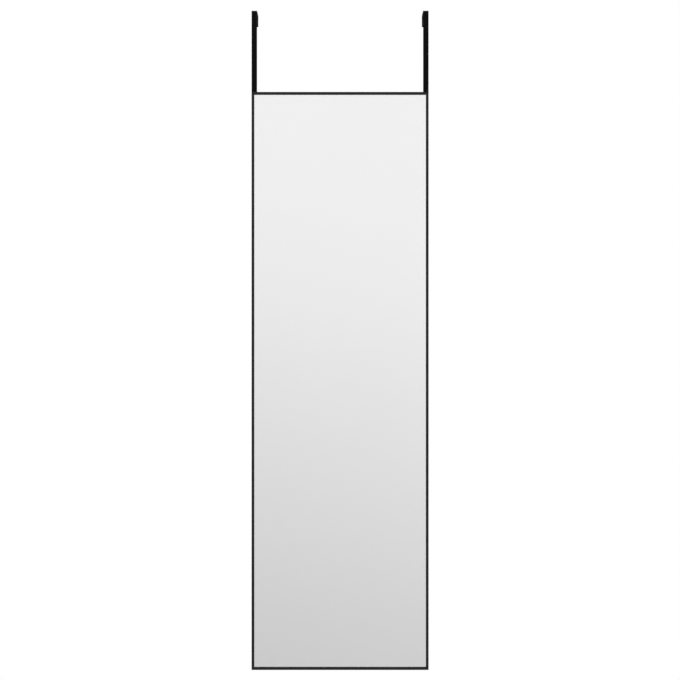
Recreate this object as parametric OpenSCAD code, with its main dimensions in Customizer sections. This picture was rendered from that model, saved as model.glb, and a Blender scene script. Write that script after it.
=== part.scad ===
// Over-the-door mirror: a glass pane in a slim mitred frame, hung from two slotted steel straps.
// Millimetres, +Z up. The origin is on the top edge of the door, in the plane of the door's front
// face and midway between the straps. The glass faces -Y and the door stands behind y = 0.

/* [Glass and backing] */
// Width of the glass that shows inside the frame
view_w = 300; // [200:5:500]
// Height of the glass that shows inside the frame
view_h = 1000; // [600:10:1400]
// Thickness of the glass
glass_t = 3; // [2:0.5:6]
// Width of the ground seam along the edges of the glass
glass_seam = 0.5; // [0.2:0.1:0.8]
// Thickness of the silver and paint on the back of the glass
coat_t = 0.1; // [0.1:0.05:0.3]
// Thickness of the foam tape between glass and board
tape_t = 0.6; // [0.4:0.1:2]
// Width of one strip of foam tape
tape_w = 15; // [8:1:30]
// Distance from the board's edge to the middle of an outer tape strip
tape_inset = 45; // [20:1:70]
// Distance from the board's ends to the ends of the tape
tape_end = 25; // [10:1:100]
// Thickness of the backing board
board_t = 3; // [2:0.5:6]
// Clearance between the edges of glass and board and the rails' outer walls
pane_gap = 0.5; // [0.3:0.1:1]
// Radius of the board's corners
board_corner_r = 3; // [1:0.5:10]

/* [Frame rails] */
// Width of the front lip, seen from the front
lip_w = 4.5; // [4.4:0.1:8]
// Thickness of the front lip
lip_t = 1.2; // [0.8:0.1:2]
// Thickness of the rail's other walls
wall_t = 1.2; // [1:0.1:1.3]
// Width of the closed chamber along the back of the rail, walls included
tube_w = 10; // [9:0.5:16]
// Depth of that chamber, walls included
tube_d = 6; // [5.5:0.5:10]
// Radius of the rail's long edges
rail_edge_r = 0.4; // [0.2:0.1:0.6]
// Radius of the fillets at the bottom of the glazing groove
groove_r = 0.3; // [0.1:0.05:0.3]
// Play of the glass, tape and board in their groove
stack_gap = 0.2; // [0.1:0.1:0.5]
// Width of the hairline joint at each mitre
mitre_gap = 0.1; // [0.05:0.05:0.3]

/* [Corner keys] */
// Length of each leg of a corner key
key_leg = 30; // [26:1:50]
// Clearance of the keys and nut bars in the chamber
key_gap = 0.1; // [0.05:0.05:0.2]
// Lead-in chamfer at the ends of keys and nut bars
key_lead = 1; // [0.5:0.1:1.5]
// Distance of a key screw from the frame's outer corner
key_screw_at = 20; // [15:1:24]
// Radius of a key screw's shank
key_screw_r = 1.25; // [1:0.05:1.5]
// Radius of a key screw's countersunk head
key_head_r = 2.3; // [2:0.1:2.6]
// Length of a key screw
key_screw_l = 4; // [3:0.1:4.2]

/* [Straps] */
// Width of the steel strap
strap_w = 9.5; // [8:0.5:14]
// Thickness of the steel strap
strap_t = 2; // [1.5:0.1:3]
// Radius of the eased edges along the strap
strap_edge_r = 0.3; // [0.1:0.05:0.6]
// Inner radius of the strap's bends
bend_r = 2; // [1:0.5:4]
// How far the strap stands out past the side of the frame
strap_out = 0.7; // [0:0.1:1]
// Height of the door's top edge over the frame's top edge, straps drawn out
strap_rise = 141; // [80:1:250]
// Length of the strap that laps behind the frame, straps drawn out
strap_lap = 100; // [92:2:160]
// Height of the short leg behind the door, from the top of the strap
back_leg_h = 20.5; // [18:0.5:60]
// Radius of the corners at the strap's lower end
strap_end_r = 3; // [1:0.5:3.5]
// Radius of the corners of the short leg
leg_end_r = 1.2; // [0.5:0.1:3]
// Thickness of door that fits between the buffers
door_t = 42; // [30:1:60]

/* [Slot and strap screws] */
// How far a strap slides
travel = 40; // [10:1:45]
// Spacing of the two screws of a strap
screw_pitch = 30; // [15:1:30]
// Radius of a strap screw's shank
screw_r = 1.5; // [1.2:0.1:1.6]
// Side play of the shank in the slot and in the rail's hole
screw_play = 0.2; // [0.1:0.05:0.4]
// Steel left below the slot at the strap's lower end
slot_end = 6.3; // [5:0.1:10]
// Radius of a strap screw's head
head_r = 2.8; // [2.4:0.1:3]
// Thickness of a strap screw's head
head_t = 1.1; // [0.9:0.1:1.2]
// Radius of the rounded rim of a strap screw's head
head_edge_r = 0.35; // [0.2:0.05:0.5]
// Radius of a washer
washer_r = 3.5; // [3.2:0.1:4]
// Thickness of a washer
washer_t = 0.5; // [0.4:0.1:0.6]
// Steel left past the outer screw at each end of the nut bar
nut_bar_end = 8; // [5:1:12]
// How far a screw's shank reaches into the nut bar
screw_bite = 3; // [2:0.1:3.3]

/* [Buffers and bumpers] */
// Thickness of the foam buffers on the straps
buffer_t = 2; // [1.8:0.1:4]
// Steel that shows on each side of a foam buffer
buffer_inset = 0.5; // [0.2:0.1:1.5]
// Radius of a buffer's corners
buffer_r = 1; // [0.5:0.1:2]
// Length of the buffer that lies against the door's front face
front_buffer_l = 30; // [15:1:60]
// Distance of the top buffer's ends from the faces of the door
top_buffer_in = 3; // [2.5:0.5:8]
// Bare steel between the strap's bends and the buffers below them, and under the short leg's buffer
buffer_drop = 2; // [1:0.5:4]
// Radius of a rubber bumper
bumper_r = 4.5; // [3.5:0.1:4.5]
// Radius of the bumper's rounded edge
bumper_edge_r = 1.2; // [0.5:0.1:1.5]
// Height of a bumper over the frame's bottom edge
bumper_up = 45; // [35:1:100]

/* [Hidden] */
// Running clearance between the strap and the rail, and between the washers and the strap
slide_gap = 0.2;
washer_gap = 0.05;
// Clearance between the screw and the end of the slot that it rests on
seat_gap = 0.05;
// Radial clearance of a shank in its threaded hole
thread_gap = 0.05;
// Overshoot of a cutter past the face that it cuts
over = 1;
// How far a fillet's root is sunk into the walls that it joins
root = 0.2;
// Cross recess in the screw heads
cross_w = 0.7;
cross_share = 0.62;
cross_depth = 0.6;
$fn = 48;

strap_back_y = -buffer_t;
strap_front_y = strap_back_y - strap_t;
rail_back_y = strap_front_y - slide_gap;
groove_d = glass_t + coat_t + tape_t + board_t + stack_gap;
rail_d = lip_t + groove_d + tube_d;
front_y = rail_back_y - rail_d;
glass_y = front_y + lip_t;
coat_y = glass_y + glass_t;
tape_y = coat_y + coat_t;
board_y = tape_y + tape_t;
key_d = tube_d - 2 * wall_t - 2 * key_gap;
key_y = rail_back_y - wall_t - key_gap - key_d;
key_w = tube_w - 2 * wall_t - 2 * key_gap;
key_in = wall_t + key_gap;

frame_w = view_w + 2 * lip_w;
frame_h = view_h + 2 * lip_w;
pane_w = frame_w - 2 * (wall_t + pane_gap);
pane_h = frame_h - 2 * (wall_t + pane_gap);
top_z = -strap_rise;
bottom_z = top_z - frame_h;
mid_z = (top_z + bottom_z) / 2;

strap_x = frame_w / 2 + strap_out - strap_w / 2;
strap_top_z = buffer_t + strap_t;
strap_end_z = top_z - strap_lap;
outer_r = bend_r + strap_t;
back_leg_y = door_t + buffer_t;
slot_r = screw_r + screw_play;
slot_low_z = strap_end_z + slot_end + slot_r;
low_screw_z = slot_low_z - screw_play + seat_gap;
high_screw_z = low_screw_z + screw_pitch;
slot_high_z = high_screw_z + travel + seat_gap - screw_play;
washer_y = strap_back_y + washer_gap;
head_y = washer_y + washer_t;

buffer_w = strap_w - 2 * buffer_inset;
top_buffer_l = door_t - 2 * top_buffer_in;
back_buffer_l = back_leg_h - outer_r - 2 * buffer_drop;

frame_colour = [0.19, 0.19, 0.19];
strap_colour = [0.06, 0.06, 0.06];
steel_colour = [0.62, 0.63, 0.65];
screw_colour = [0.3, 0.3, 0.31];
foam_colour = [0.1, 0.1, 0.11];

// ---- shared shapes ----

// Turns an outline drawn in (Y, Z) into a bar along X
module along_x(length) {
    rotate([90, 0, 90])
        linear_extrude(length, center = true)
            children();
}

// Turns an outline drawn in (X, Z) into a plate that starts at y and runs towards +Y
module plate(y, thickness) {
    translate([0, y + thickness, 0])
        rotate([90, 0, 0])
            linear_extrude(thickness)
                children();
}

// Points a shape drawn along +Z towards +Y
module towards_back(x, y, z) {
    translate([x, y, z])
        rotate([-90, 0, 0])
            children();
}

module left_side() {
    mirror([1, 0, 0])
        children();
}

// A rectangle with its corners cut off at 45 degrees
module cut_rect(w, h, cut) {
    diamond = (w + h - 2 * cut) / sqrt(2);
    intersection() {
        square([w, h], center = true);
        rotate(45)
            square(diamond, center = true);
    }
}

module round_rect(w, h, r) {
    square([w - 2 * r, h], center = true);
    square([w, h - 2 * r], center = true);
    for (sx = [-1, 1], sy = [-1, 1])
        translate([sx * (w / 2 - r), sy * (h / 2 - r)])
            circle(r);
}

// The waste outside a rounded corner at [x, y], whose solid lies towards [-sx, -sy]
module corner_waste(x, y, sx, sy, r) {
    translate([x, y])
        scale([sx, sy])
            difference() {
                translate([-r, -r])
                    square([r + over, r + over]);
                translate([-r, -r])
                    circle(r);
            }
}

// The fillet in an inner corner at [x, y] that opens towards [sx, sy]
module corner_fillet(x, y, sx, sy, r) {
    translate([x, y])
        scale([sx, sy])
            difference() {
                translate([-root, -root])
                    square(r + root);
                translate([r, r])
                    circle(r);
            }
}

// Half outline of a low button with a rounded rim, to be turned about its axis
module button_outline(r, h, rim) {
    square([r, h - rim]);
    square([r - rim, h]);
    translate([r - rim, h - rim])
        circle(rim);
}

module cross_recess(r) {
    for (turn = [0, 90])
        rotate([0, 0, turn])
            cube([2 * r * cross_share, cross_w, 2 * cross_depth], center = true);
}

// ---- frame rails ----

// Section of a rail in (Y, Z): y = 0 is its front, z = 0 its outer face
module rail_section() {
    tube_y = rail_d - tube_d;
    difference() {
        union() {
            translate([0, -lip_w])
                square([lip_t, lip_w]);
            translate([0, -wall_t])
                square([rail_d, wall_t]);
            translate([tube_y, -tube_w])
                square([tube_d, tube_w]);
            corner_fillet(lip_t, -wall_t, 1, -1, groove_r);
            corner_fillet(tube_y, -wall_t, -1, -1, groove_r);
        }
        translate([tube_y + wall_t, wall_t - tube_w])
            square([tube_d - 2 * wall_t, tube_w - 2 * wall_t]);
        corner_waste(0, 0, -1, 1, rail_edge_r);
        corner_waste(rail_d, 0, 1, 1, rail_edge_r);
        corner_waste(rail_d, -tube_w, 1, -1, rail_edge_r);
        corner_waste(0, -lip_w, -1, -1, rail_edge_r);
    }
}

// A rail along X, cut at 45 degrees at both ends
module mitred_rail(length) {
    half = length / 2 - mitre_gap / sqrt(2);
    reach = max(tube_w, lip_w) + over;
    intersection() {
        along_x(length)
            rail_section();
        plate(-over, rail_d + 2 * over)
            polygon([
                [-half - over, over],
                [half + over, over],
                [half - reach, -reach],
                [reach - half, -reach]
            ]);
    }
}

module key_screw_places(sx, sz) {
    towards_back(sx * (frame_w - tube_w) / 2, rail_back_y, mid_z + sz * (frame_h / 2 - key_screw_at))
        children();
    towards_back(sx * (frame_w / 2 - key_screw_at), rail_back_y, mid_z + sz * (frame_h - tube_w) / 2)
        children();
}

// Shank and countersunk head of a key screw, its top at z = 0, grown by gap
module key_screw_form(gap) {
    head_d = key_head_r - key_screw_r;
    translate([0, 0, -key_screw_l])
        cylinder(r = key_screw_r + gap, h = key_screw_l);
    translate([0, 0, -head_d])
        cylinder(r1 = key_screw_r + gap, r2 = key_head_r + gap, h = head_d);
}

module key_screw_hole() {
    key_screw_form(thread_gap);
    cylinder(r = key_head_r + thread_gap, h = over);
}

module strap_screw_places() {
    for (z = [low_screw_z, high_screw_z])
        towards_back(strap_x, 0, z)
            children();
}

module side_rail() {
    color(frame_colour)
        difference() {
            translate([frame_w / 2, front_y, mid_z])
                rotate([0, 90, 0])
                    mitred_rail(frame_h);
            for (sz = [-1, 1])
                key_screw_places(1, sz)
                    key_screw_hole();
            strap_screw_places()
                translate([0, 0, rail_back_y - wall_t - key_gap])
                    cylinder(r = slot_r, h = wall_t + key_gap + over);
        }
}

module top_rail() {
    color(frame_colour)
        difference() {
            translate([0, front_y, top_z])
                mitred_rail(frame_w);
            for (sx = [-1, 1])
                key_screw_places(sx, 1)
                    key_screw_hole();
        }
}

module bottom_rail() {
    color(frame_colour)
        difference() {
            translate([0, front_y, bottom_z])
                mirror([0, 0, 1])
                    mitred_rail(frame_w);
            for (sx = [-1, 1])
                key_screw_places(sx, -1)
                    key_screw_hole();
        }
}

module right_rail() {
    side_rail();
}

module left_rail() {
    left_side()
        side_rail();
}

// ---- glass and backing ----

// The pane's edges are seamed in front and behind, on all four sides
module mirror_glass() {
    color([0.75, 0.85, 0.83], 0.4)
        translate([0, glass_y + glass_t / 2, mid_z])
            intersection() {
                along_x(pane_w)
                    cut_rect(glass_t, pane_h, glass_seam);
                linear_extrude(pane_h, center = true)
                    cut_rect(pane_w, glass_t, glass_seam);
            }
}

module silver_coating() {
    color([0.85, 0.86, 0.87])
        translate([0, 0, mid_z])
            plate(coat_y, coat_t)
                square([pane_w - 2 * glass_seam, pane_h - 2 * glass_seam], center = true);
}

module foam_tape_strips() {
    reach = pane_w / 2 - tape_inset;
    color([0.9, 0.9, 0.88])
        for (x = [-reach, 0, reach])
            translate([x, 0, mid_z])
                plate(tape_y, tape_t)
                    square([tape_w, pane_h - 2 * tape_end], center = true);
}

module backing_board() {
    color([0.45, 0.33, 0.22])
        translate([0, 0, mid_z])
            plate(board_y, board_t)
                round_rect(pane_w, pane_h, board_corner_r);
}

// ---- corner keys ----

// An L with chamfered ends, its outer corner at [0, 0] cut back where the rails' walls meet
module key_outline() {
    polygon([
        [2 * key_lead, 0],
        [key_leg - key_lead, 0],
        [key_leg, key_lead],
        [key_leg, key_w - key_lead],
        [key_leg - key_lead, key_w],
        [key_w, key_w],
        [key_w, key_leg - key_lead],
        [key_w - key_lead, key_leg],
        [key_lead, key_leg],
        [0, key_leg - key_lead],
        [0, 2 * key_lead]
    ]);
}

// The key of the corner on the sides sx and sz of the frame
module corner_key(sx, sz) {
    color(steel_colour)
        difference() {
            translate([sx * (frame_w / 2 - key_in), 0, mid_z + sz * (frame_h / 2 - key_in)])
                scale([-sx, 1, -sz])
                    plate(key_y, key_d)
                        key_outline();
            key_screw_places(sx, sz)
                key_screw_hole();
        }
}

module top_left_corner_key() {
    corner_key(-1, 1);
}

module top_right_corner_key() {
    corner_key(1, 1);
}

module bottom_left_corner_key() {
    corner_key(-1, -1);
}

module bottom_right_corner_key() {
    corner_key(1, -1);
}

module corner_key_screws() {
    color(screw_colour)
        for (sx = [-1, 1], sz = [-1, 1])
            key_screw_places(sx, sz)
                difference() {
                    key_screw_form(0);
                    cross_recess(key_head_r);
                }
}

// ---- straps ----

// Cross section of the strap's bar, with eased edges
module bar_section() {
    round_rect(strap_w, strap_t, strap_edge_r);
}

module upright_bar(y, low_z, high_z) {
    translate([strap_x, y + strap_t / 2, low_z])
        linear_extrude(high_z - low_z)
            bar_section();
}

// A quarter bend about a centre at y, from the angle start around the X axis
module bar_bend(y, start) {
    translate([strap_x, y, strap_top_z - outer_r])
        rotate([0, 90, 0])
            rotate([0, 0, start])
                rotate_extrude(angle = 90)
                    translate([outer_r - strap_t / 2, 0])
                        rotate(90)
                            bar_section();
}

// Long front leg, flat top and short back leg of a strap
module bent_bar() {
    bend_z = strap_top_z - outer_r;
    near_y = strap_front_y + outer_r;
    far_y = back_leg_y + strap_t - outer_r;
    upright_bar(strap_front_y, strap_end_z, bend_z);
    bar_bend(near_y, 180);
    towards_back(strap_x, near_y, strap_top_z - strap_t / 2)
        linear_extrude(far_y - near_y)
            bar_section();
    bar_bend(far_y, 90);
    upright_bar(back_leg_y, strap_top_z - back_leg_h, bend_z);
}

// What is cut from the strap's lower end and from the long front leg
module strap_front_waste() {
    plate(strap_front_y - over, strap_t + 2 * over) {
        for (sx = [-1, 1])
            corner_waste(strap_x + sx * strap_w / 2, strap_end_z, sx, -1, strap_end_r);
        translate([strap_x - slot_r, slot_low_z])
            square([2 * slot_r, slot_high_z - slot_low_z]);
        for (z = [slot_low_z, slot_high_z])
            translate([strap_x, z])
                circle(slot_r);
    }
}

module strap_leg_waste() {
    plate(back_leg_y - over, strap_t + 2 * over)
        for (sx = [-1, 1])
            corner_waste(strap_x + sx * strap_w / 2, strap_top_z - back_leg_h, sx, -1, leg_end_r);
}

module right_strap() {
    color(strap_colour)
        difference() {
            bent_bar();
            strap_front_waste();
            strap_leg_waste();
        }
}

module left_strap() {
    left_side()
        right_strap();
}

// ---- strap screws, washers and nut bars ----

module right_strap_screws() {
    head_top = head_y + head_t;
    shank_end = rail_back_y - wall_t - key_gap - screw_bite;
    color(screw_colour)
        strap_screw_places() {
            difference() {
                translate([0, 0, head_y])
                    rotate_extrude()
                        button_outline(head_r, head_t, head_edge_r);
                translate([0, 0, head_top])
                    cross_recess(head_r);
            }
            translate([0, 0, shank_end])
                cylinder(r = screw_r, h = head_y - shank_end);
        }
}

module left_strap_screws() {
    left_side()
        right_strap_screws();
}

module right_washers() {
    color(steel_colour)
        strap_screw_places()
            translate([0, 0, washer_y])
                difference() {
                    cylinder(r = washer_r, h = washer_t);
                    translate([0, 0, -over])
                        cylinder(r = screw_r + thread_gap, h = washer_t + 2 * over);
                }
}

module left_washers() {
    left_side()
        right_washers();
}

module right_nut_bar() {
    length = screw_pitch + 2 * nut_bar_end;
    color(steel_colour)
        difference() {
            translate([(frame_w - tube_w) / 2, 0, (low_screw_z + high_screw_z) / 2])
                plate(key_y, key_d)
                    cut_rect(key_w, length, key_lead);
            strap_screw_places()
                translate([0, 0, key_y - over])
                    cylinder(r = screw_r + thread_gap, h = key_d + 2 * over);
        }
}

module left_nut_bar() {
    left_side()
        right_nut_bar();
}

// ---- buffers and bumpers ----

module upright_buffer(y, length) {
    color(foam_colour)
        translate([strap_x, 0, strap_top_z - outer_r - buffer_drop - length / 2])
            plate(y, buffer_t)
                round_rect(buffer_w, length, buffer_r);
}

module right_front_buffer() {
    upright_buffer(strap_back_y, front_buffer_l);
}

module left_front_buffer() {
    left_side()
        right_front_buffer();
}

module right_top_buffer() {
    color(foam_colour)
        translate([strap_x, door_t / 2, 0])
            linear_extrude(buffer_t)
                round_rect(buffer_w, top_buffer_l, buffer_r);
}

module left_top_buffer() {
    left_side()
        right_top_buffer();
}

module right_back_buffer() {
    upright_buffer(back_leg_y - buffer_t, back_buffer_l);
}

module left_back_buffer() {
    left_side()
        right_back_buffer();
}

module right_bumper() {
    color([0.08, 0.08, 0.08])
        towards_back((frame_w - tube_w) / 2, rail_back_y, bottom_z + bumper_up)
            rotate_extrude()
                button_outline(bumper_r, -rail_back_y, bumper_edge_r);
}

module left_bumper() {
    left_side()
        right_bumper();
}

top_rail();
bottom_rail();
left_rail();
right_rail();
mirror_glass();
silver_coating();
foam_tape_strips();
backing_board();
top_left_corner_key();
top_right_corner_key();
bottom_left_corner_key();
bottom_right_corner_key();
corner_key_screws();
left_nut_bar();
right_nut_bar();
left_strap();
right_strap();
left_strap_screws();
right_strap_screws();
left_washers();
right_washers();
left_front_buffer();
right_front_buffer();
left_top_buffer();
right_top_buffer();
left_back_buffer();
right_back_buffer();
left_bumper();
right_bumper();
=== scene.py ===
"""Looks of the over-the-door mirror: finishes, glass, foam buffers, bumpers, camera and studio."""
import math

import bmesh
import bpy
from mathutils import Matrix, Vector


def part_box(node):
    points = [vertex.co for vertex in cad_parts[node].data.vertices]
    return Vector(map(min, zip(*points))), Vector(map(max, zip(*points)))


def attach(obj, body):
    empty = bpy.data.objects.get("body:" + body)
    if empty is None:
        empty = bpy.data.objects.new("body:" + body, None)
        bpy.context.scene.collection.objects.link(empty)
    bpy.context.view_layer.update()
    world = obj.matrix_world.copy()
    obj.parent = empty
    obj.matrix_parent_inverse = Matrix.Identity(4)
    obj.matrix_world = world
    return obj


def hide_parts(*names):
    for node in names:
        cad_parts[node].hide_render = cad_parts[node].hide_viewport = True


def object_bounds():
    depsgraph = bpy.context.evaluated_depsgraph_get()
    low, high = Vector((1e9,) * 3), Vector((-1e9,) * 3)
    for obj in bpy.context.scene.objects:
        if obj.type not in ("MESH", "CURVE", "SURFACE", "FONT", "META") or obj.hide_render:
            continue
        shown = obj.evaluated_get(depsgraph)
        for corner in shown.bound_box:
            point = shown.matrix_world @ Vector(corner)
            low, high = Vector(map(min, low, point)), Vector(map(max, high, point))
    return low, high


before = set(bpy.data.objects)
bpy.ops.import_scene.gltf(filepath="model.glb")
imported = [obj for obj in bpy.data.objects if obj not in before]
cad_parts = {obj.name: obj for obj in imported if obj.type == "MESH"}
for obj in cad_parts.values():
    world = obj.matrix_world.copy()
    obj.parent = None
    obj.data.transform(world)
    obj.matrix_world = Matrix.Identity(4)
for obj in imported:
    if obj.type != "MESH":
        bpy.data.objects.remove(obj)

CAD_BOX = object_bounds()
MM = 0.001

# ---------------------------------------------------------------- the photograph's frame

PHOTO_SIDE_PX = 680
FRAME_TOP_PX = 91.9           # row of the frame's top edge
FRAME_MIDDLE_PX = 340.08      # column of the frame's middle
METRES_PER_PX = 1.7454 * MM   # at the frame's front face
CAMERA_DISTANCE = 3.04        # from the lens to the frame's front face
SENSOR_WIDTH_MM = 36

# ---------------------------------------------------------------- node helpers

# Where a noise pattern really begins and ends: it seldom leaves this span.
NOISE_LOW = 0.3
NOISE_HIGH = 0.7


def grey(level):
    return (level, level, level)


def new_object(name, data):
    """An object of the scene that shows data."""
    made = bpy.data.objects.new(name, data)
    bpy.context.scene.collection.objects.link(made)
    return made


def new_material(name, **sockets):
    """A Principled material, and the constants that its own sockets hold."""
    material = bpy.data.materials.new(name)
    material.use_nodes = True
    shader = material.node_tree.nodes["Principled BSDF"]
    for socket, value in sockets.items():
        shader.inputs[socket.replace("_", " ")].default_value = value
    return material, material.node_tree, shader


def feed(tree, shader, **patterns):
    """Links patterns to the shader's sockets."""
    for socket, pattern in patterns.items():
        tree.links.new(pattern, shader.inputs[socket.replace("_", " ")])


def add(tree, kind, **settings):
    made = tree.nodes.new(kind)
    for name, value in settings.items():
        setattr(made, name, value)
    return made


def noise(tree, scale, detail=2.0, roughness=0.5, stretch=(1, 1, 1), turn=0):
    """Noise of scale cycles a metre, drawn out by stretch, then turned about Y by degrees."""
    place = add(tree, "ShaderNodeTexCoord")
    mapping = add(tree, "ShaderNodeMapping", vector_type="TEXTURE")
    mapping.inputs["Scale"].default_value = stretch
    mapping.inputs["Rotation"].default_value = (0, math.radians(turn), 0)
    texture = add(tree, "ShaderNodeTexNoise")
    texture.inputs["Scale"].default_value = scale
    texture.inputs["Detail"].default_value = detail
    texture.inputs["Roughness"].default_value = roughness
    tree.links.new(place.outputs["Object"], mapping.inputs["Vector"])
    tree.links.new(mapping.outputs["Vector"], texture.inputs["Vector"])
    return texture.outputs["Fac"]


def cells(tree, scale):
    """Distance to the nearest cell point, scale as for noise."""
    place = add(tree, "ShaderNodeTexCoord")
    texture = add(tree, "ShaderNodeTexVoronoi")
    texture.inputs["Scale"].default_value = scale
    tree.links.new(place.outputs["Object"], texture.inputs["Vector"])
    return texture.outputs["Distance"]


def spread(tree, pattern, low, high, start=NOISE_LOW, end=NOISE_HIGH):
    """Maps a pattern's start to end onto low to high, and holds it there beyond them."""
    remap = add(tree, "ShaderNodeMapRange")
    remap.inputs["From Min"].default_value = start
    remap.inputs["From Max"].default_value = end
    remap.inputs["To Min"].default_value = low
    remap.inputs["To Max"].default_value = high
    tree.links.new(pattern, remap.inputs["Value"])
    return remap.outputs["Result"]


def blend_colours(tree, factor, first, second):
    """From the first colour to the second; each is a colour or another pattern's socket."""
    mix = add(tree, "ShaderNodeMix", data_type="RGBA")
    for socket, colour in (("A", first), ("B", second)):
        at = [s for s in mix.inputs if s.name == socket and s.type == "RGBA"][0]
        if isinstance(colour, bpy.types.NodeSocket):
            tree.links.new(colour, at)
        else:
            at.default_value = (*colour, 1)
    tree.links.new(factor, mix.inputs["Factor"])
    return [s for s in mix.outputs if s.type == "RGBA"][0]


def tone(tree, pattern, first, second, start=NOISE_LOW, end=NOISE_HIGH, low=0, high=1):
    """Runs from the first colour to the second, by shares low to high, as a pattern rises."""
    return blend_colours(tree, spread(tree, pattern, low, high, start, end), first, second)


def greater(tree, first, second):
    larger = add(tree, "ShaderNodeMath", operation="MAXIMUM")
    tree.links.new(first, larger.inputs[0])
    tree.links.new(second, larger.inputs[1])
    return larger.outputs[0]


def total(tree, first, second, share):
    """first plus share times second."""
    added = add(tree, "ShaderNodeMath", operation="MULTIPLY_ADD")
    tree.links.new(second, added.inputs[0])
    added.inputs[1].default_value = share
    tree.links.new(first, added.inputs[2])
    return added.outputs[0]


def raise_surface(tree, shader, height, depth, strength):
    """Bumps the surface by a pattern that is depth metres high."""
    bump = add(tree, "ShaderNodeBump")
    bump.inputs["Distance"].default_value = depth
    bump.inputs["Strength"].default_value = strength
    tree.links.new(height, bump.inputs["Height"])
    feed(tree, shader, Normal=bump.outputs["Normal"])


# ---------------------------------------------------------------- finishes

DIE_LINE_STRETCH = 250        # the die lines of a rail are this many times longer than wide
FIBRE_STRETCH = 9             # and the fibres of the hardboard this many times
FIBRE_TURNS = (8, 41, 77, 104, 139, 166)


def rail_finish(name, line_stretch):
    """Satin dark grey coat on an extrusion, with faint die lines along the bar."""
    material, tree, shader = new_material(name, Specular_IOR_Level=0.15)
    lines = noise(tree, scale=900, detail=5.0, roughness=0.7, stretch=line_stretch)
    cloud = noise(tree, scale=34, detail=3.0)
    grain = noise(tree, scale=5200, detail=1.0)
    coat = tone(tree, cloud, (0.0076, 0.0076, 0.0078), (0.0098, 0.0098, 0.01))
    line_grey = (0.0225, 0.0225, 0.0228)
    line_gloss = spread(tree, lines, low=0.34, high=0.5)
    cloud_gloss = spread(tree, cloud, low=-0.5, high=0.5)
    feed(
        tree, shader,
        Base_Color=tone(tree, lines, coat, line_grey, start=0.36, end=0.68, high=0.7),
        Roughness=total(tree, line_gloss, cloud_gloss, share=0.05),
    )
    relief = total(tree, lines, grain, share=0.5)
    raise_surface(tree, shader, relief, depth=0.02 * MM, strength=0.6)
    return material


def strap_finish():
    """Matt black powder coat: fine orange peel, with painted glints that lighten the tops of its
    bumps.
    """
    material, tree, shader = new_material("strap_powder_coat", Specular_IOR_Level=0.07)
    peel = noise(tree, scale=1500)
    grain = noise(tree, scale=4500, detail=1.0)
    cloud = noise(tree, scale=60, detail=3.0)
    relief = total(tree, peel, grain, share=0.5)
    coat = tone(tree, cloud, grey(0.0003), grey(0.0008))
    # Painted glints: the coat runs to a paler grey where the peel's relief is highest.
    feed(
        tree, shader,
        Base_Color=tone(tree, relief, coat, grey(0.007), start=0.68, end=1, high=0.9),
        Roughness=spread(tree, peel, low=0.5, high=0.62),
    )
    raise_surface(tree, shader, relief, depth=0.03 * MM, strength=0.5)
    return material


def glass_finish():
    """Clear float glass with its faint green."""
    material, tree, shader = new_material(
        "clear_float_glass", Transmission_Weight=1.0, IOR=1.52, Roughness=0.0
    )
    ripple = noise(tree, scale=6, detail=1.0)
    tint = tone(tree, ripple, (0.9885, 0.9892, 0.9888), (0.9905, 0.991, 0.9907))
    feed(tree, shader, Base_Color=tint)
    return material


def silver_finish():
    """Silver behind the glass; the paint on its back is never seen."""
    material, tree, shader = new_material("silvering", Metallic=1.0, Roughness=0.0)
    haze = noise(tree, scale=5)
    feed(tree, shader, Base_Color=tone(tree, haze, grey(0.96), grey(0.963)))
    return material


def fibre_felt(tree):
    """Fine lint under short fibres that lie in all directions of the board's face."""
    felt = spread(tree, noise(tree, scale=900, detail=3.0, roughness=0.6), low=0, high=0.5)
    for turn in FIBRE_TURNS:
        strands = noise(tree, scale=1500, stretch=(FIBRE_STRETCH, 1, 1), turn=turn)
        felt = greater(tree, felt, spread(tree, strands, low=0, high=1, start=0.56, end=0.7))
    return felt


def hardboard_finish():
    """Pressed brown hardboard: felted fibres, chips and flecks under a faintly glazed face."""
    material, tree, shader = new_material("brown_hardboard", Specular_IOR_Level=0.3)
    felt = fibre_felt(tree)
    fleck = noise(tree, scale=1500, detail=4.0, roughness=0.65)
    mottle = noise(tree, scale=210, detail=5.0, roughness=0.7)
    chips = noise(tree, scale=460, detail=3.0, roughness=0.6, stretch=(1, 1, 1.8), turn=20)
    cloud = noise(tree, scale=9, detail=5.0, roughness=0.6)
    deep_ground, pale_ground = (0.2, 0.114, 0.057), (0.255, 0.154, 0.081)
    blotch_brown = (0.12, 0.066, 0.032)
    chip_brown = (0.085, 0.045, 0.022)
    fibre_brown = (0.11, 0.058, 0.027)
    fleck_brown = (0.07, 0.037, 0.018)
    ground = tone(tree, cloud, deep_ground, pale_ground)
    blotched = tone(tree, mottle, ground, blotch_brown, start=0.42, end=0.62, high=0.5)
    chipped = tone(tree, chips, blotched, chip_brown, start=0.62, end=0.72, high=0.7)
    felted = tone(tree, felt, chipped, fibre_brown, start=0.2, end=1, high=0.7)
    feed(
        tree, shader,
        Base_Color=tone(tree, fleck, fleck_brown, felted, start=0.34, end=0.47, low=0.3),
        Roughness=spread(tree, felt, low=0.42, high=0.6, start=0, end=1),
    )
    relief = total(tree, felt, fleck, share=0.5)
    raise_surface(tree, shader, relief, depth=0.06 * MM, strength=0.5)
    return material


def zinc_finish():
    """Zinc plated steel, slightly clouded."""
    material, tree, shader = new_material("zinc_plate", Metallic=1.0)
    cloud = noise(tree, scale=260, detail=4.0)
    spangle = cells(tree, scale=700)
    feed(
        tree, shader,
        Base_Color=tone(tree, cloud, (0.47, 0.48, 0.5), (0.62, 0.63, 0.65)),
        Roughness=spread(tree, spangle, low=0.24, high=0.42, start=0, end=0.8),
    )
    raise_surface(tree, shader, cloud, depth=0.01 * MM, strength=0.4)
    return material


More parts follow.
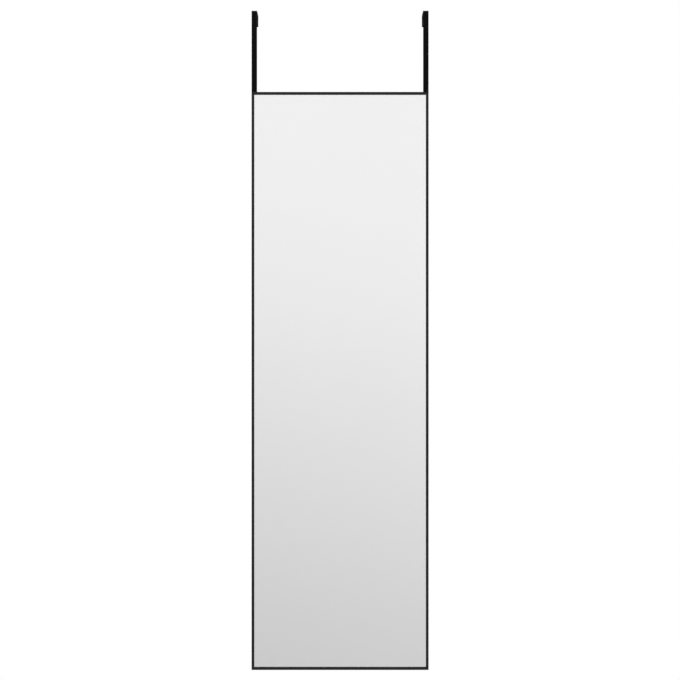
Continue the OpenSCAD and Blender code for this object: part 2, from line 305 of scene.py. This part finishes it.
def oxide_finish():
    """Black oxide on screws, rubbed bare on its highest edges."""
    material, tree, shader = new_material("black_oxide", Metallic=1.0)
    cloud = noise(tree, scale=800, detail=3.0)
    edges = add(tree, "ShaderNodeNewGeometry").outputs["Pointiness"]
    dark = tone(tree, cloud, (0.045, 0.045, 0.048), (0.075, 0.075, 0.08))
    bare_steel = (0.3, 0.3, 0.31)
    feed(
        tree, shader,
        Base_Color=tone(tree, edges, dark, bare_steel, start=0.54, end=0.62, high=0.8),
        Roughness=spread(tree, cloud, low=0.3, high=0.45),
    )
    raise_surface(tree, shader, cloud, depth=0.01 * MM, strength=0.4)
    return material


def tape_finish():
    """White foam mounting tape, its pores darkened by painted shade."""
    material, tree, shader = new_material("white_foam_tape", Roughness=0.85)
    pores = cells(tree, scale=1800)
    # Painted shade: the tape's white darkens in the hollows of its pores.
    white = tone(tree, pores, (0.62, 0.62, 0.59), (0.78, 0.78, 0.75), start=0, end=0.6)
    feed(tree, shader, Base_Color=white)
    raise_surface(tree, shader, pores, depth=0.05 * MM, strength=0.6)
    return material


def foam_finish():
    """Closed cell black foam with a cut, pored face, its pores darkened by painted shade."""
    material, tree, shader = new_material("black_cell_foam", Specular_IOR_Level=0.22)
    pores = cells(tree, scale=1500)
    fine = noise(tree, scale=3200)
    # Painted shade: the hollows of the pores are a darker black than the cell walls.
    pore_shade_black, wall_black = (0.008, 0.008, 0.0085), (0.024, 0.024, 0.025)
    feed(
        tree, shader,
        Base_Color=tone(tree, pores, pore_shade_black, wall_black, start=0.05, end=0.5),
        Roughness=spread(tree, fine, low=0.82, high=0.95),
    )
    relief = total(tree, pores, fine, share=0.4)
    raise_surface(tree, shader, relief, depth=0.14 * MM, strength=0.8)
    return material


def rubber_finish():
    """Moulded black rubber with a faint bloom."""
    material, tree, shader = new_material("moulded_rubber", Specular_IOR_Level=0.35)
    bloom = noise(tree, scale=240, detail=3.0)
    grain = noise(tree, scale=4200)
    feed(
        tree, shader,
        Base_Color=tone(tree, bloom, grey(0.012), grey(0.021)),
        Roughness=spread(tree, bloom, low=0.5, high=0.66),
    )
    raise_surface(tree, shader, grain, depth=0.03 * MM, strength=0.5)
    return material


def dress(material, *nodes):
    """Gives CAD nodes their finish."""
    for name in nodes:
        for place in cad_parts[name].material_slots:
            place.material = material


dress(rail_finish("rail_coat_level", (DIE_LINE_STRETCH, 1, 1)), "top_rail", "bottom_rail")
dress(rail_finish("rail_coat_upright", (1, 1, DIE_LINE_STRETCH)), "left_rail", "right_rail")
dress(silver_finish(), "silver_coating")
dress(hardboard_finish(), "backing_board")
dress(tape_finish(), "foam_tape_strips")
dress(strap_finish(), "left_strap", "right_strap")
dress(oxide_finish(), "corner_key_screws", "left_strap_screws", "right_strap_screws")
dress(
    zinc_finish(),
    "top_left_corner_key", "top_right_corner_key",
    "bottom_left_corner_key", "bottom_right_corner_key",
    "left_nut_bar", "right_nut_bar", "left_washers", "right_washers",
)

# ---------------------------------------------------------------- pieces made here

FOAM = foam_finish()
RUBBER = rubber_finish()

TO_RIGHT = Vector((1, 0, 0))
TO_DOOR = Vector((0, 1, 0))
DOWN = Vector((0, 0, -1))

LEAST_CORNER = 0.05 * MM      # what is left of a round corner when its outline is drawn in


def box_of(node):
    """Middle, size and the Y of the front of a CAD node's box."""
    low, high = (Vector(corner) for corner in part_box(node))
    return (low + high) / 2, high - low, low.y


def arc(centre, radius, start, end, steps):
    """Points along an arc from the angle start to end in degrees, both ends included."""
    points = []
    for step in range(steps + 1):
        angle = math.radians(start + (end - start) * step / steps)
        points.append((centre[0] + radius * math.cos(angle), centre[1] + radius * math.sin(angle)))
    return points


def rounded_outline(width, height, radius, inset, steps):
    """Points round a rectangle with round corners, centred, drawn in by inset."""
    corner = max(radius - inset, LEAST_CORNER)
    half_w = width / 2 - inset - corner
    half_h = height / 2 - inset - corner
    points = []
    for quarter, (sx, sy) in enumerate(((1, 1), (-1, 1), (-1, -1), (1, -1))):
        start = 90 * quarter
        points += arc((sx * half_w, sy * half_h), corner, start, start + 90, steps)
    return points


def circle_outline(radius, sides):
    return arc((0, 0), radius, 0, 360, sides)[:-1]


def closed_stack(name, rings, place):
    """A mesh through a stack of rings, each a height with its points, closed at both ends."""
    work = bmesh.new()
    rows = [[work.verts.new((u, v, height)) for u, v in points] for height, points in rings]
    count = len(rows[0])
    for lower, upper in zip(rows, rows[1:]):
        for i in range(count):
            after = (i + 1) % count
            work.faces.new((lower[i], lower[after], upper[after], upper[i]))
    work.faces.new(rows[0][::-1])
    work.faces.new(rows[-1])
    work.transform(place)
    bmesh.ops.recalc_face_normals(work, faces=work.faces)
    mesh = bpy.data.meshes.new(name)
    work.to_mesh(mesh)
    work.free()
    return mesh


def lofted(name, rings, place, material, body, smooth=True):
    """The piece through a stack of rings, smooth between them if asked, with flat ends."""
    mesh = closed_stack(name, rings, place)
    for face in mesh.polygons:
        face.use_smooth = smooth and len(face.vertices) == 4
    mesh.materials.append(material)
    piece = new_object(name, mesh)
    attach(piece, body)
    return piece


def facing(origin, out):
    """A place whose first axis runs to the right, and whose height runs along out."""
    turn = Matrix((TO_RIGHT, out.cross(TO_RIGHT), out)).transposed().to_4x4()
    return Matrix.Translation(origin) @ turn


PANE_SEAM = 0.5 * MM
PANE_CORNER = 1.0 * MM
PANE_CORNER_STEPS = 3
PANE_BACK_GAP = 0.02 * MM


def glass_pane():
    """The pane with its four edges seamed, just clear of the silver behind it."""
    middle, size, front_y = box_of("mirror_glass")
    depth = size.y - PANE_BACK_GAP
    profile = [(PANE_SEAM, 0), (0, PANE_SEAM), (0, depth - PANE_SEAM), (PANE_SEAM, depth)]
    rings = [
        (rise, rounded_outline(size.x, size.z, PANE_CORNER, inset, PANE_CORNER_STEPS))
        for inset, rise in profile
    ]
    place = facing(Vector((middle.x, front_y, middle.z)), TO_DOOR)
    pane = lofted("glass_pane", rings, place, glass_finish(), "mirror", smooth=False)
    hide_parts("mirror_glass")


FOAM_CORNER = 1.0 * MM        # in the outline
FOAM_CORNER_STEPS = 6
FOAM_ROUND = 0.5 * MM         # round the rim of the free face
FOAM_ROUND_STEPS = 5
FOAM_CROWN = 0.12 * MM        # how far the middle of that face stands over its rim
FOAM_CROWN_IN = 1.9 * MM      # from the pad's edge to where the crown is level
FOAM_FOOT = 0.15 * MM         # ease where the pad is stuck to the strap


def foam_buffer(side, spot, out):
    """A die cut foam pad on the strap; its free face is eased at the rim and crowned by the cut."""
    node = f"{side}_{spot}_buffer"
    middle, size, _ = box_of(node)
    thick = abs(size.dot(out))
    length = abs(size.dot(out.cross(TO_RIGHT)))
    rim_middle = (FOAM_ROUND, thick - FOAM_CROWN - FOAM_ROUND)
    rim = arc(rim_middle, FOAM_ROUND, 180, 90, FOAM_ROUND_STEPS)
    profile = [(FOAM_FOOT, 0), (0, FOAM_FOOT), *rim, (FOAM_CROWN_IN, thick)]
    rings = [
        (rise, rounded_outline(size.x, length, FOAM_CORNER, inset, FOAM_CORNER_STEPS))
        for inset, rise in profile
    ]
    place = facing(middle - out * thick / 2, out)
    pad = lofted(f"{node}_foam", rings, place, FOAM, f"{side}_hanger")
    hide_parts(node)


BUMPER_SIDES = 48
BUMPER_EASE = 0.25 * MM       # at its foot
BUMPER_FOOT = 0.9 * MM        # height of the upright foot
BUMPER_WAIST = 0.3 * MM       # how far the wall draws in over the foot
BUMPER_RIM = 1.5 * MM         # round the rim
BUMPER_RIM_STEPS = 6
DIMPLE_R = 1.4 * MM
DIMPLE_DEPTH = 0.6 * MM
DIMPLE_FLAT = 0.3 * MM        # radius of the small flat at its bottom
DIMPLE_STEPS = 5


def rubber_bumper(side):
    """A stick-on bumper with an eased foot, drawn-in waist, round rim and moulding dimple."""
    node = f"{side}_bumper"
    middle, size, front_y = box_of(node)
    radius = size.x / 2
    height = size.y
    rim_middle = (radius - BUMPER_WAIST - BUMPER_RIM, height - BUMPER_RIM)
    rim = arc(rim_middle, BUMPER_RIM, 0, 90, BUMPER_RIM_STEPS)
    hollow = (DIMPLE_R ** 2 / DIMPLE_DEPTH + DIMPLE_DEPTH) / 2
    start = math.degrees(math.asin(DIMPLE_R / hollow)) - 90
    end = math.degrees(math.asin(DIMPLE_FLAT / hollow)) - 90
    dimple = arc((0, height - DIMPLE_DEPTH + hollow), hollow, start, end, DIMPLE_STEPS)
    foot = [(radius - BUMPER_EASE, 0), (radius, BUMPER_EASE), (radius, BUMPER_FOOT)]
    rings = [(rise, circle_outline(reach, BUMPER_SIDES)) for reach, rise in foot + rim + dimple]
    place = facing(Vector((middle.x, front_y, middle.z)), TO_DOOR)
    bumper = lofted(f"{node}_rubber", rings, place, RUBBER, "mirror")
    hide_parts(node)


glass_pane()
for side in ("left", "right"):
    foam_buffer(side, "front", TO_DOOR)
    foam_buffer(side, "top", DOWN)
    foam_buffer(side, "back", -TO_DOOR)
    rubber_bumper(side)

# ---------------------------------------------------------------- camera


def photo_camera():
    """Looks straight at the frame, with each pixel of the photograph its own size in metres."""
    front_y = CAD_BOX[0][1]
    frame_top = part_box("top_rail")[1][2]
    centre_px = PHOTO_SIDE_PX / 2
    eye_x = (centre_px - FRAME_MIDDLE_PX) * METRES_PER_PX
    eye_z = frame_top - (centre_px - FRAME_TOP_PX) * METRES_PER_PX
    half_view = centre_px * METRES_PER_PX
    data = bpy.data.cameras.new("photo_camera")
    data.sensor_width = SENSOR_WIDTH_MM
    data.sensor_fit = "HORIZONTAL"
    data.lens = SENSOR_WIDTH_MM / 2 * CAMERA_DISTANCE / half_view
    data.clip_end = 100
    camera = new_object("photo_camera", data)
    camera.location = (eye_x, front_y - CAMERA_DISTANCE, eye_z)
    camera.rotation_euler = (math.pi / 2, 0, 0)
    bpy.context.scene.camera = camera


# ---------------------------------------------------------------- studio

# What metal and glass reflect, by the sine of the elevation: a pale wall that darkens downwards.
STUDIO_STOPS = (
    (-1.0, 0.26),
    (-0.45, 0.42),
    (-0.184, 0.641),
    (0.018, 0.876),
    (0.075, 0.918),
    (0.115, 0.929),
    (1.0, 0.96),
)
STUDIO_TILT = 0.26            # the right of the studio is a little lighter than the left
STUDIO_TILT_REACH = 0.16      # up to this far out to either side
AMBIENT = 0.42                # what lights matt surfaces
WHITE = 1.0                   # what the camera sees behind the object

# Names and places of the lamps, the length of their sides in metres, and their watts
LAMPS = (
    ("key", (-2.2, -3.0, 1.6), 2.0, 96),
    ("fill", (2.6, -2.6, 0.6), 2.4, 42),
    ("back_key", (2.2, 3.0, 1.5), 2.0, 94),
    ("back_fill", (-2.6, 2.6, 0.5), 2.4, 40),
)
LAMP_TARGET = Vector((0, 0, -0.57))  # the middle of the object


def mirrored_wall(tree):
    """The pale wall that metal and glass reflect."""
    place = add(tree, "ShaderNodeTexCoord")
    axes = add(tree, "ShaderNodeSeparateXYZ")
    tree.links.new(place.outputs["Generated"], axes.inputs["Vector"])
    reach = STUDIO_TILT_REACH
    tilt = spread(tree, axes.outputs["X"], low=-reach, high=reach, start=-reach, end=reach)
    height = total(tree, axes.outputs["Z"], tilt, share=STUDIO_TILT)
    ramp = add(tree, "ShaderNodeValToRGB")
    stops = ramp.color_ramp.elements
    while len(stops) < len(STUDIO_STOPS):
        stops.new(0.5)
    for stop, (level, light) in zip(stops, STUDIO_STOPS):
        stop.position = (level + 1) / 2
        stop.color = (*grey(light), 1)
    tree.links.new(spread(tree, height, low=0, high=1, start=-1, end=1), ramp.inputs["Fac"])
    return ramp.outputs["Color"]


def studio_world():
    """White to the camera, a pale wall to metal and glass, and soft grey light to the rest."""
    world = bpy.data.worlds.new("studio")
    world.use_nodes = True
    bpy.context.scene.world = world
    tree = world.node_tree
    tree.nodes.clear()
    path = add(tree, "ShaderNodeLightPath")
    mirrored = greater(tree, path.outputs["Is Glossy Ray"], path.outputs["Is Transmission Ray"])
    lit = blend_colours(tree, mirrored, grey(AMBIENT), mirrored_wall(tree))
    seen = blend_colours(tree, path.outputs["Is Camera Ray"], lit, grey(WHITE))
    background = add(tree, "ShaderNodeBackground")
    output = add(tree, "ShaderNodeOutputWorld")
    tree.links.new(seen, background.inputs["Color"])
    tree.links.new(background.outputs["Background"], output.inputs["Surface"])


def soft_lamp(name, place, width, watts):
    """A square area lamp that no mirror shows."""
    data = bpy.data.lights.new(name, "AREA")
    data.shape = "SQUARE"
    data.size = width
    data.energy = watts
    lamp = new_object(name, data)
    lamp.location = place
    lamp.rotation_euler = (LAMP_TARGET - Vector(place)).to_track_quat("-Z", "Y").to_euler()
    lamp.visible_glossy = False
    lamp.visible_transmission = False


FLOOR_Z = -2.0                # an ordinary door's top edge is two metres up
FLOOR_SIDE = 5.6
FLOOR_GREY = 0.8
FLOOR_FADE = (1.1, 2.7)       # distance from the middle over which the floor dissolves


def floor_finish():
    """Matt pale grey that dissolves towards the floor's edges."""
    material, tree, shader = new_material(
        "pale_floor", Base_Color=(*grey(FLOOR_GREY), 1), Roughness=0.9, Specular_IOR_Level=0.1
    )
    place = add(tree, "ShaderNodeTexCoord")
    level = add(tree, "ShaderNodeVectorMath", operation="MULTIPLY")
    level.inputs[1].default_value = (1, 1, 0)
    reach = add(tree, "ShaderNodeVectorMath", operation="LENGTH")
    tree.links.new(place.outputs["Object"], level.inputs[0])
    tree.links.new(level.outputs["Vector"], reach.inputs[0])
    fade_start, fade_end = FLOOR_FADE
    fade = spread(tree, reach.outputs["Value"], low=0, high=1, start=fade_start, end=fade_end)
    clear = add(tree, "ShaderNodeBsdfTransparent")
    mix = add(tree, "ShaderNodeMixShader")
    tree.links.new(fade, mix.inputs["Fac"])
    tree.links.new(shader.outputs["BSDF"], mix.inputs[1])
    tree.links.new(clear.outputs["BSDF"], mix.inputs[2])
    tree.links.new(mix.outputs["Shader"], tree.nodes["Material Output"].inputs["Surface"])
    return material


def pale_floor():
    mesh = bpy.data.meshes.new("floor")
    work = bmesh.new()
    bmesh.ops.create_grid(work, x_segments=8, y_segments=8, size=FLOOR_SIDE / 2)
    work.transform(Matrix.Translation((0, 0, FLOOR_Z)))
    work.to_mesh(mesh)
    work.free()
    mesh.materials.append(floor_finish())
    floor = new_object("floor", mesh)


bpy.context.scene.view_settings.view_transform = "Standard"
photo_camera()
studio_world()
for name, place, width, watts in LAMPS:
    soft_lamp(name, place, width, watts)
pale_floor()
